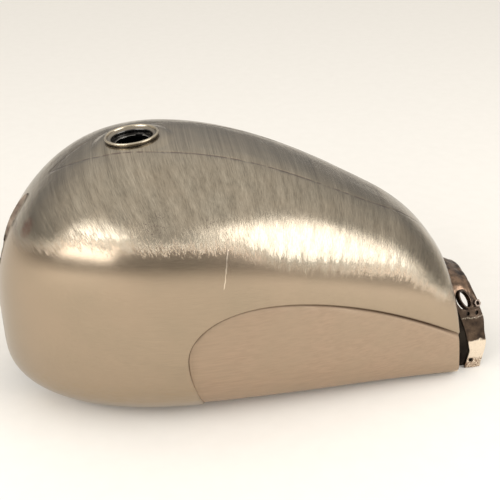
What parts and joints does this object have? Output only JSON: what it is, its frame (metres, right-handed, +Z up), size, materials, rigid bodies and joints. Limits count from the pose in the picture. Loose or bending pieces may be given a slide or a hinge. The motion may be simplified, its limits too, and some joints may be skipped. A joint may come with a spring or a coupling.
{
  "type": "motorcycle fuel tank",
  "caption": "Bare welded steel teardrop fuel tank: two pressed side shells, top panel, recessed knee panels, open filler neck, frame tunnel and rear bracket.",
  "frame": {"origin": "middle of the tank's length and width, on the plane that its belly rests on", "axes": "+X towards the rear of the motorcycle, along the tank's length; +Y towards its right-hand side; +Z up"},
  "size_m": [0.524, 0.2912, 0.2791],
  "materials": {
    "shell_top": "ground and brushed, soft sheen",
    "shell_side": "satin, fine streaks",
    "knee_panel": "matte, faint streaks",
    "filler_steel": "satin, turned",
    "raw_steel": "raw, dull, darker"
  },
  "bodies": {
    "root": {"top_panel": "shell_top", "left_side_shell": "shell_side", "right_side_shell": "shell_side", "left_knee_panel": "knee_panel", "right_knee_panel": "knee_panel", "left_floor_panel": "shell_side", "right_floor_panel": "shell_side", "head_notch_panel": "raw_steel", "tunnel": "raw_steel", "rear_panel": "raw_steel", "front_baffle": "raw_steel", "rear_baffle": "raw_steel", "left_tap_bung": "raw_steel", "right_tap_bung": "raw_steel", "breather_pipe": "raw_steel", "left_mount_cup": "raw_steel", "right_mount_cup": "raw_steel", "filler_neck": "filler_steel", "filler_backing_ring": "raw_steel", "filler_bayonet_ring": "filler_steel", "rear_bracket": "raw_steel", "left_bracket_collar": "raw_steel", "right_bracket_collar": "raw_steel", "bracket_nut": "raw_steel"}
  },
  "joints": []
}
